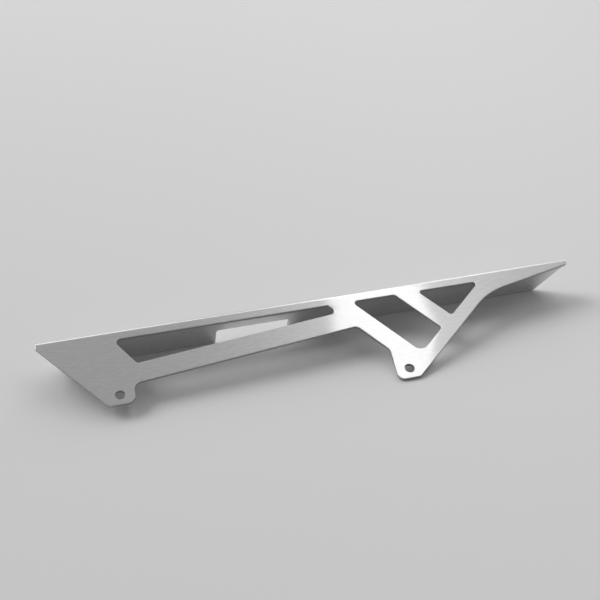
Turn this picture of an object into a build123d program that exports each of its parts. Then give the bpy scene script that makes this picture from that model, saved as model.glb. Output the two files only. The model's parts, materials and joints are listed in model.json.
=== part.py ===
from build123d import *

import os
from math import atan2, cos, degrees, radians, sin

# Motorcycle chain guard: one aluminium sheet, cut to shape and folded once along its top.
# The side panel hangs beside the chain, and the flange reaches inboard over it.
# All sizes are in millimetres and all angles in degrees.

# Sheet and fold
sheet_thickness = 2.5
fold_inner_radius = 1.0
overall_length = 400.0
edge_break = 0.25

# Panel: falls are angles below the fold line towards the rear, drops are measured down from the fold
rail_width = 8.5
nose_drop = 5.9
front_edge_fall = 54.0
beam_width = 15.0
beam_fall = -5.55
beam_root_drop = 30.4
slot_front_place = 51.2
slot_front_fall = 59.3
strut_place = 206.5
strut_width = 14.5
strut_fall = 55.2
window_length = 33.5
brace_width = 10.1
brace_fall = -39.0
tail_fall = -10.9
tip_drop = 5.4

# Bolt holes and the tabs around them
bolt_hole_diameter = 7.0
front_hole_place = 48.6
front_hole_drop = 53.6
rear_hole_place = 247.0
rear_hole_drop = 72.5
tab_margin = 9.7
tab_side_fall = 95.0
front_tab_foot = 7.2
rear_tab_foot = 7.8

# Corner radii of the panel's outline
nose_radius = 2.0
front_toe_radius = 4.8
front_heel_radius = 6.0
beam_front_radius = 6.4
beam_rear_radius = 4.8
rear_tab_neck_radius = 7.0
rear_toe_radius = 4.7
rear_heel_radius = 4.0
tail_radius = 59.0
tip_radius = 2.0

# Corner radii of the cut-outs
slot_front_top_radius = 3.4
slot_front_low_radius = 1.7
slot_rear_low_radius = 3.2
slot_rear_top_radius = 0.8
window_front_radius = 2.6
window_low_radius = 6.1
window_rear_radius = 1.9
window_top_radius = 3.0
triangle_radius = 2.2

# Flange
flange_width = 33.0
flange_front_nose = 4.5
flange_rear_nose = 7.2
flange_end_fall = 55.2
flange_corner_radius = 3.0
notch_place = 127.0
notch_length = 54.2
notch_floor_width = 18.0
notch_radius = 2.0

# The flat panel and the flat flange both start where the outside of the fold ends
fold_outer_radius = fold_inner_radius + sheet_thickness


def along(drop):
    """Construction line along the fold, at a drop below it."""
    return Axis((0, -drop), (1, 0))


def across(place):
    """Construction line square to the fold, at a place along it."""
    return Axis((place, 0), (0, -1))


def sloping(place, drop, fall):
    """Construction line through a point of the panel, falling towards the rear by an angle."""
    return Axis((place, -drop), (cos(radians(fall)), -sin(radians(fall))))


def above(line, distance):
    """Construction line parallel to another, at a distance on its upper side."""
    upward = Vector(-line.direction.Y, line.direction.X)
    return Axis(line.position + upward * distance, line.direction)


def rounded_face(*corners):
    """Face inside a closed outline, given as corners in order, each with its own radius."""
    points = [point for point, radius in corners]
    radii = [radius for point, radius in corners]
    return make_face(FilletPolyline(*points, radius=radii, close=True))


def broken_edges(plate, skin_axis, away_from_fold):
    """Plate with its cut edges broken on both skins, apart from its bores and the side at the fold."""
    rims = ShapeList()
    for skin in plate.faces().filter_by(skin_axis):
        side_at_fold, *cut_edges = skin.edges().sort_by(away_from_fold)
        rims += [edge for edge in cut_edges if not edge.is_closed]
    return chamfer(rims, edge_break)


# Construction lines of the panel
fold_end = along(fold_outer_radius)
front_end = across(0)
rear_end = across(overall_length)
rail_lower = along(rail_width)
front_edge = sloping(0, nose_drop, front_edge_fall)
front_foot = along(front_hole_drop + front_tab_foot)
rear_foot = along(rear_hole_drop + rear_tab_foot)
front_tab_side = above(sloping(front_hole_place, front_hole_drop, tab_side_fall), tab_margin)
rear_tab_side = above(sloping(rear_hole_place, rear_hole_drop, tab_side_fall), -tab_margin)
strut_lower = sloping(strut_place, rail_width, strut_fall)
strut_upper = above(strut_lower, strut_width)
window_rear_place = (strut_upper & rail_lower).X + window_length
second_strut_lower = sloping(window_rear_place, rail_width, strut_fall)
second_strut_upper = above(second_strut_lower, strut_width)
beam_root = strut_lower & along(beam_root_drop)
beam_lower = sloping(beam_root.X, beam_root_drop, beam_fall)
beam_upper = above(beam_lower, beam_width)
slot_front = sloping(slot_front_place, rail_width, slot_front_fall)
brace_outer = above(sloping(rear_hole_place, rear_hole_drop, brace_fall), -tab_margin)
brace_inner = above(brace_outer, brace_width)
tail_lower = sloping(overall_length, tip_drop, tail_fall)

# Panel outline, from the fold at the front round to the fold at the rear
panel_outline = rounded_face(
    (fold_end & front_end, 0),
    (front_end & front_edge, nose_radius),
    (front_edge & front_foot, front_toe_radius),
    (front_foot & front_tab_side, front_heel_radius),
    (front_tab_side & beam_lower, beam_front_radius),
    (beam_lower & strut_lower, beam_rear_radius),
    (strut_lower & rear_tab_side, rear_tab_neck_radius),
    (rear_tab_side & rear_foot, rear_toe_radius),
    (rear_foot & brace_outer, rear_heel_radius),
    (brace_outer & tail_lower, tail_radius),
    (tail_lower & rear_end, tip_radius),
    (rear_end & fold_end, 0),
)

# Long slot between the rail and the beam
slot = rounded_face(
    (rail_lower & slot_front, slot_front_top_radius),
    (slot_front & beam_upper, slot_front_low_radius),
    (beam_upper & strut_lower, slot_rear_low_radius),
    (strut_lower & rail_lower, slot_rear_top_radius),
)

# Slanted window between the two struts
window = rounded_face(
    (rail_lower & strut_upper, window_front_radius),
    (strut_upper & brace_inner, window_low_radius),
    (brace_inner & second_strut_lower, window_rear_radius),
    (second_strut_lower & rail_lower, window_top_radius),
)

# Triangle behind the second strut
triangle = rounded_face(
    (rail_lower & second_strut_upper, triangle_radius),
    (second_strut_upper & brace_inner, triangle_radius),
    (brace_inner & rail_lower, triangle_radius),
)

bolt_hole = Circle(bolt_hole_diameter / 2)
front_hole = Pos(front_hole_place, -front_hole_drop) * bolt_hole
rear_hole = Pos(rear_hole_place, -rear_hole_drop) * bolt_hole

panel_face = panel_outline - slot - window - triangle - front_hole - rear_hole
panel = extrude(panel_face, amount=-sheet_thickness)

# Flange outline in its own plane, with slanted ends and a notch in its free edge
free_edge = along(flange_width)
flange_front = sloping(0, flange_front_nose, flange_end_fall)
flange_rear = sloping(overall_length, flange_rear_nose, -flange_end_fall)
notch_floor = along(notch_floor_width)
notch_front = across(notch_place)
notch_rear = across(notch_place + notch_length)

flange_outline = rounded_face(
    (fold_end & front_end, 0),
    (front_end & flange_front, nose_radius),
    (flange_front & free_edge, flange_corner_radius),
    (free_edge & notch_front, notch_radius),
    (notch_front & notch_floor, notch_radius),
    (notch_floor & notch_rear, notch_radius),
    (notch_rear & free_edge, notch_radius),
    (free_edge & flange_rear, flange_corner_radius),
    (flange_rear & rear_end, nose_radius),
    (rear_end & fold_end, 0),
)
flange = extrude(Plane.XZ * flange_outline, amount=sheet_thickness)

# Fold: a quarter of a tube along the whole length
fold_ring = Circle(fold_outer_radius) - Circle(fold_inner_radius)
fold_quarter = fold_ring & Rectangle(fold_outer_radius, fold_outer_radius, align=(Align.MIN, Align.MIN))
fold_section = Plane.YZ * Pos(-fold_outer_radius, -fold_outer_radius) * fold_quarter
fold = extrude(fold_section, amount=overall_length)

# Every cut edge of the sheet is lightly broken, the bores apart
panel = broken_edges(panel, Axis.Z, -Axis.Y)
flange = broken_edges(flange, Axis.Y, -Axis.Z)
fold = chamfer(fold.edges().filter_by(GeomType.CIRCLE), edge_break)
guard = panel + fold + flange

# The guard lies as it comes to rest: on the flange's free edge and on the foot of the rear tab
rest_slope = degrees(atan2(
    flange_width - sheet_thickness,
    rear_hole_drop + rear_tab_foot - sheet_thickness,
))
guard = Rot(X=rest_slope) * guard
box = guard.bounding_box()
guard = Pos(-box.center().X, -box.center().Y, -box.min.Z) * guard

os.makedirs("parts", exist_ok=True)
export_step(guard, "parts/chain_guard.step")
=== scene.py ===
import json
import math

import bpy
from mathutils import Matrix, Vector


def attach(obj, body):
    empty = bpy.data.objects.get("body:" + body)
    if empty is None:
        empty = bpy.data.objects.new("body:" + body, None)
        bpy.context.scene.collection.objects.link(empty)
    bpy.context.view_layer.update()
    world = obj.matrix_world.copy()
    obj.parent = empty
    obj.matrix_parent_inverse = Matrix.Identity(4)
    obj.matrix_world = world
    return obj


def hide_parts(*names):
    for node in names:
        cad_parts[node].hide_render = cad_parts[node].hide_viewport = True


# Motorcycle chain guard: one folded aluminium sheet, lying on a pale studio floor.
# Lengths are in metres and angles in degrees. The sun's strength is in watts per square metre,
# and the radiance of the sky and the soft boxes in watts per square metre and steradian.

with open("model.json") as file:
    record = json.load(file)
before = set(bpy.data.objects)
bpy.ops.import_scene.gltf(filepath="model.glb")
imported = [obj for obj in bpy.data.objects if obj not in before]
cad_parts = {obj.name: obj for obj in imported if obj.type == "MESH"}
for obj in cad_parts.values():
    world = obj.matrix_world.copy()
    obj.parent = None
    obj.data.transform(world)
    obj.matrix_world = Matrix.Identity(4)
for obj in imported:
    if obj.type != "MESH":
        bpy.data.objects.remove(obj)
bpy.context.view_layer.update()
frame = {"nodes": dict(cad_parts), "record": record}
millimetre = 0.001

# The sheet, as packed: the bolt holes go square through its panel, and the flange is square to the panel
bolt_hole = frame["record"]["mounts"][0]
panel_normal = Vector(bolt_hole["axis"])
flange_normal = panel_normal.cross(Vector((1, 0, 0)))
sheet_thickness = bolt_hole["dims"]["length_mm"] * millimetre
fold_inner_radius = 1.0 * millimetre
fold_outer_radius = fold_inner_radius + sheet_thickness

# Working of the mesh
weld_distance = 0.002 * millimetre
flat_angle = 0.4
square_angle = 60.0
break_angle = 38.0
bore_rim_round = 0.2 * millimetre
bore_rim_steps = 3
break_round = 0.09 * millimetre
break_steps = 1

# Turn of a face from the sheet's skin, as 1 less its cosine, where the finish changes
skin_turn = 0.02
cut_turn = 0.8

# Camera, from the photograph
image_size = 600
sensor_width = 36.0
focal_length_pixels = 1124
camera_place = Vector((-0.2183, -0.6255, 0.4522))
camera_azimuth = -17.44
camera_elevation = 31.43
camera_roll = 0.30

# Floor and sky. The sky is darker in front, most of all half way up, where the product of a direction's
# rearward and upward parts is least. From the horizon up to a height it takes on the far floor's tone.
floor_side = 30.0
floor_colour = (0.80, 0.80, 0.80, 1.0)
floor_roughness = 0.65
sky_radiance = 0.301
front_sky_radiance = 0.13
front_sky_least = -0.5
horizon_radiance = 0.41
horizon_height = 0.15

# Lights. The panel mirrors the strip as a bright band, and the fold mirrors the back boxes as a bright line.
sun_place = Vector((0, 0, 1))
sun_direction = Vector((0.62, -0.45, -0.64))
sun_angle = 35.0
sun_strength = 1.3
strip_place = Vector((0.381, 0.20, 1.0))
strip_size = (0.168, 1.3)
strip_turn = -2.5
strip_radiance = 1.62
side_place = Vector((0.98, 0.20, 1.0))
side_size = (1.02, 1.3)
side_radiance = 0.175
back_left_place = Vector((-0.50, 1.75, 1.2))
back_left_size = (1.7, 1.5)
back_left_radiance = 0.9
back_right_place = Vector((0.88, 1.75, 1.2))
back_right_size = (0.92, 1.5)
back_right_radiance = 1.1


class Field:
    """A value that changes over a surface: a socket of a finish, with its sums written as arithmetic."""

    def __init__(self, finish, socket):
        self.finish = finish
        self.socket = socket

    def math(self, operation, first, second):
        return self.finish.node("ShaderNodeMath", {"operation": operation}, {0: first, 1: second})

    def __add__(self, other):
        return self.math("ADD", self, other)

    __radd__ = __add__

    def __sub__(self, other):
        return self.math("SUBTRACT", self, other)

    def __rsub__(self, other):
        return self.math("SUBTRACT", other, self)

    def __mul__(self, other):
        return self.math("MULTIPLY", self, other)

    __rmul__ = __mul__

    def between(self, low, high):
        """From a low value to a high one as this field goes from 0 to 1."""
        return low + (high - low) * self

    def sharpened(self, contrast):
        """This field with its contrast raised about a half."""
        return contrast * self - (contrast - 1) / 2

    def ramp(self, start, end, first, last):
        """From the first value to the last as this field goes from start to end, and level past both."""
        limits = {"From Min": start, "From Max": end, "To Min": first, "To Max": last}
        return self.finish.node("ShaderNodeMapRange", None, {"Value": self, **limits})


class Finish:
    """The nodes of one material, or of the sky."""

    def __init__(self, owner):
        owner.use_nodes = True
        self.owner = owner
        self.tree = owner.node_tree
        self.tree.nodes.clear()

    def node(self, kind, settings=None, inputs=None, output=0):
        """A new node with its settings made, then its sockets set or linked, as the field of one output."""
        made = self.tree.nodes.new(kind)
        for name, value in (settings or {}).items():
            setattr(made, name, value)
        for name, value in (inputs or {}).items():
            if isinstance(value, Field):
                self.tree.links.new(value.socket, made.inputs[name])
            else:
                made.inputs[name].default_value = value
        return Field(self, made.outputs[output]) if made.outputs else None

    def grains(self, length, width, detail=2.0):
        """Noise from about 0 to 1, in grains of this length along the sheet and this width across it."""
        place = self.node("ShaderNodeTexCoord", output="Object")
        scale = (1 / length, 1 / width, 1 / width)
        scaled = self.node("ShaderNodeMapping", None, {"Vector": place, "Scale": scale})
        return self.node("ShaderNodeTexNoise", None, {"Vector": scaled, "Scale": 1.0, "Detail": detail})

    def tones(self, factor, dark, light):
        """Grey from a dark tone to a light one as the factor goes from 0 to 1."""
        # A Mix node names its number and colour sockets alike, so the colour ones go by their place
        dark_socket, light_socket, mixed_socket = 6, 7, 2
        greys = {dark_socket: (dark, dark, dark, 1), light_socket: (light, light, light, 1)}
        return self.node("ShaderNodeMix", {"data_type": "RGBA"}, {"Factor": factor, **greys}, mixed_socket)

    def bump(self, height, depth):
        return self.node("ShaderNodeBump", None, {"Height": height, "Distance": depth, "Strength": 1.0})

    def surface(self, inputs):
        return self.node("ShaderNodeBsdfPrincipled", None, inputs)

    def metal(self, colour, roughness, normal=None):
        """Bare metal of a colour and a roughness, with a bumped normal where one is given."""
        bumped = {"Normal": normal} if normal else {}
        return self.surface({"Base Color": colour, "Roughness": roughness, "Metallic": 1.0, **bumped})

    def finished(self, surface, output="ShaderNodeOutputMaterial"):
        """The material or sky, with this shader as its surface."""
        self.node(output, None, {"Surface": surface})
        return self.owner


def brushed_aluminium():
    """Rolled skins of the sheet, brushed along their length: a clear reflection under an uneven haze."""
    finish = Finish(bpy.data.materials.new("brushed_aluminium"))
    hairs = finish.grains(length=3 * millimetre, width=0.2 * millimetre)
    strokes = finish.grains(length=6 * millimetre, width=0.45 * millimetre)
    bands = finish.grains(length=50 * millimetre, width=3 * millimetre)
    clouds = finish.grains(length=60 * millimetre, width=25 * millimetre)
    grain = 0.5 * hairs + 0.4 * strokes + 0.1 * bands
    colour = finish.tones(grain.sharpened(2.2), dark=0.76, light=0.86)
    normal = finish.bump(hairs, depth=0.005 * millimetre)
    clear = finish.metal(colour, clouds.between(0.015, 0.045), normal)
    hazy = finish.metal(colour, grain.between(0.28, 0.42), normal)
    haze = strokes.between(0.55, 0.85)
    return finish.finished(finish.node("ShaderNodeMixShader", None, {0: haze, 1: clear, 2: hazy}))


def broken_edge():
    """The narrow rounded break along each cut edge, rubbed a little unevenly."""
    finish = Finish(bpy.data.materials.new("broken_edge"))
    rub = finish.grains(length=4 * millimetre, width=4 * millimetre, detail=3.0)
    colour = finish.tones(rub, dark=0.62, light=0.84)
    return finish.finished(finish.metal(colour, rub.between(0.30, 0.50)))


def cut_edge():
    """Cut faces of the sheet: duller, with fine lines from the cutting."""
    finish = Finish(bpy.data.materials.new("cut_edge"))
    lines = finish.grains(length=0.35 * millimetre, width=0.6 * millimetre)
    patches = finish.grains(length=9 * millimetre, width=9 * millimetre)
    wear = 0.6 * lines + 0.4 * patches
    colour = finish.tones(wear, dark=0.30, light=0.56)
    normal = finish.bump(lines, depth=0.03 * millimetre)
    return finish.finished(finish.metal(colour, wear.between(0.40, 0.60), normal))


def open_for_edit(piece, elements):
    """Only this piece selected and in edit mode, with none of its faces and edges picked yet."""
    bpy.ops.object.select_all(action="DESELECT")
    bpy.context.view_layer.objects.active = piece
    piece.select_set(True)
    bpy.ops.object.mode_set(mode="EDIT")
    bpy.ops.mesh.select_mode(type=elements)
    bpy.ops.mesh.select_all(action="DESELECT")


def close():
    bpy.ops.object.mode_set(mode="OBJECT")


def merge_flats(piece):
    """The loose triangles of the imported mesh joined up, and those that lie flat together made one face."""
    open_for_edit(piece, "FACE")
    bpy.ops.mesh.select_all(action="SELECT")
    bpy.ops.mesh.customdata_custom_splitnormals_clear()
    bpy.ops.mesh.remove_doubles(threshold=weld_distance)
    bpy.ops.mesh.dissolve_limited(angle_limit=math.radians(flat_angle))
    close()


def round_edges(piece, angle, size, steps):
    """The edges that turn by more than an angle rounded in steps, by a size each side."""
    open_for_edit(piece, "EDGE")
    bpy.ops.mesh.edges_select_sharp(sharpness=math.radians(angle))
    bpy.ops.mesh.bevel(offset=size, segments=steps, affect="EDGES", loop_slide=False)
    close()


def split_flats(piece):
    """The large flat faces cut into triangles of good shape, so that none is a sliver."""
    open_for_edit(piece, "FACE")
    bpy.ops.mesh.select_all(action="SELECT")
    bpy.ops.mesh.quads_convert_to_tris(quad_method="BEAUTY", ngon_method="BEAUTY")
    close()


def reach(piece, direction):
    """How far a piece reaches along a direction."""
    return max(vertex.co.dot(direction) for vertex in piece.data.vertices)


def centre_of_fold(piece):
    """A point on the line that the sheet is folded about."""
    panel_part = reach(piece, panel_normal) - fold_outer_radius
    flange_part = reach(piece, flange_normal) - fold_outer_radius
    return panel_part * panel_normal + flange_part * flange_normal


def turn_of_face(face, fold_centre):
    """How far a face turns from the sheet's skin: 0 on a skin, 1 on a cut edge, between them on a break."""
    from_fold = face.center - fold_centre
    across_panel = max(from_fold.dot(panel_normal), 0)
    across_flange = max(from_fold.dot(flange_normal), 0)
    through_sheet = (across_panel * panel_normal + across_flange * flange_normal).normalized()
    return 1 - abs(face.normal.dot(through_sheet))


def give_finish(piece, finish, fold_centre, least_turn, most_turn):
    """One finish on the faces that turn from the skin by an amount between two limits."""
    piece.data.materials.append(finish)
    open_for_edit(piece, "FACE")
    close()
    for face in piece.data.polygons:
        face.select = least_turn <= turn_of_face(face, fold_centre) <= most_turn
    bpy.ops.object.mode_set(mode="EDIT")
    piece.active_material_index = len(piece.data.materials) - 1
    bpy.ops.object.material_slot_assign()
    close()


def smooth_rounds(piece):
    """Roundings shaded smooth between flat skins and flat cut edges."""
    bpy.ops.object.shade_smooth_by_angle(angle=math.radians(square_angle))
    weighting = piece.modifiers.new("flat_faces", "WEIGHTED_NORMAL")
    weighting.keep_sharp = True
    bpy.ops.object.modifier_apply(modifier=weighting.name)


def dressed_sheet():
    """The folded sheet, with its edges rounded and a finish on each kind of face."""
    sheet = bpy.data.objects.new("guard_sheet", frame["nodes"]["chain_guard"].data.copy())
    bpy.context.scene.collection.objects.link(sheet)
    sheet.data.materials.clear()
    merge_flats(sheet)
    fold_centre = centre_of_fold(sheet)
    round_edges(sheet, square_angle, bore_rim_round, bore_rim_steps)
    round_edges(sheet, break_angle, break_round, break_steps)
    split_flats(sheet)
    give_finish(sheet, brushed_aluminium(), fold_centre, 0.0, skin_turn)
    give_finish(sheet, broken_edge(), fold_centre, skin_turn, cut_turn)
    give_finish(sheet, cut_edge(), fold_centre, cut_turn, 1.0)
    smooth_rounds(sheet)
    return sheet


def build_floor():
    bpy.ops.mesh.primitive_plane_add(size=floor_side, location=(0, 0, 0))
    floor = bpy.context.object
    floor.name = "studio_floor"
    finish = Finish(bpy.data.materials.new("pale_floor"))
    surface = finish.surface({"Base Color": floor_colour, "Roughness": floor_roughness})
    floor.data.materials.append(finish.finished(surface))


def build_sky():
    """A grey sky, darker half way up in front of the guard, and at the horizon as light as the far floor."""
    sky = Finish(bpy.data.worlds.new("studio"))
    direction = sky.node("ShaderNodeTexCoord", output="Generated")
    rearward = sky.node("ShaderNodeSeparateXYZ", None, {0: direction}, output="Y")
    upward = sky.node("ShaderNodeSeparateXYZ", None, {0: direction}, output="Z")
    upper = (rearward * upward).ramp(front_sky_least, 0.0, front_sky_radiance, sky_radiance)
    lower = upward.ramp(0.0, horizon_height, horizon_radiance - sky_radiance, 0.0)
    background = sky.node("ShaderNodeBackground", None, {"Color": (1, 1, 1, 1), "Strength": upper + lower})
    bpy.context.scene.world = sky.finished(background, "ShaderNodeOutputWorld")


def place_light(light, place, direction, turn=0.0):
    """A light that faces along a direction, turned about it."""
    lamp = bpy.data.objects.new(light.name, light)
    facing = direction.to_track_quat("-Z", "Y").to_matrix().to_4x4()
    turning = Matrix.Rotation(math.radians(turn), 4, "Z")
    lamp.matrix_world = Matrix.Translation(place) @ facing @ turning
    bpy.context.scene.collection.objects.link(lamp)


def soft_box(name, place, size, radiance, direction, turn=0.0):
    """An evenly bright rectangle of light that faces along a direction."""
    width, height = size
    light = bpy.data.lights.new(name, "AREA")
    light.shape = "RECTANGLE"
    light.size = width
    light.size_y = height
    light.energy = radiance * width * height * math.pi
    place_light(light, place, direction, turn)


def build_light():
    sun = bpy.data.lights.new("soft_sun", "SUN")
    sun.angle = math.radians(sun_angle)
    sun.energy = sun_strength
    place_light(sun, sun_place, sun_direction)
    downward = Vector((0, 0, -1))
    soft_box("strip", strip_place, strip_size, strip_radiance, downward, strip_turn)
    soft_box("side_box", side_place, side_size, side_radiance, downward)
    soft_box("back_left_box", back_left_place, back_left_size, back_left_radiance, -back_left_place)
    soft_box("back_right_box", back_right_place, back_right_size, back_right_radiance, -back_right_place)


def build_camera():
    camera = bpy.data.cameras.new("camera")
    camera.sensor_width = sensor_width
    camera.lens = sensor_width * focal_length_pixels / image_size
    eye = bpy.data.objects.new("camera", camera)
    turn = Matrix.Rotation(math.radians(camera_azimuth), 4, "Z")
    tip = Matrix.Rotation(math.radians(90 - camera_elevation), 4, "X")
    roll = Matrix.Rotation(math.radians(camera_roll), 4, "Z")
    eye.matrix_world = Matrix.Translation(camera_place) @ turn @ tip @ roll
    bpy.context.scene.collection.objects.link(eye)
    bpy.context.scene.camera = eye


sheet = dressed_sheet()
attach(sheet, "root")
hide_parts("chain_guard")

build_floor()
build_sky()
build_light()
build_camera()
bpy.context.scene.view_settings.view_transform = "Standard"
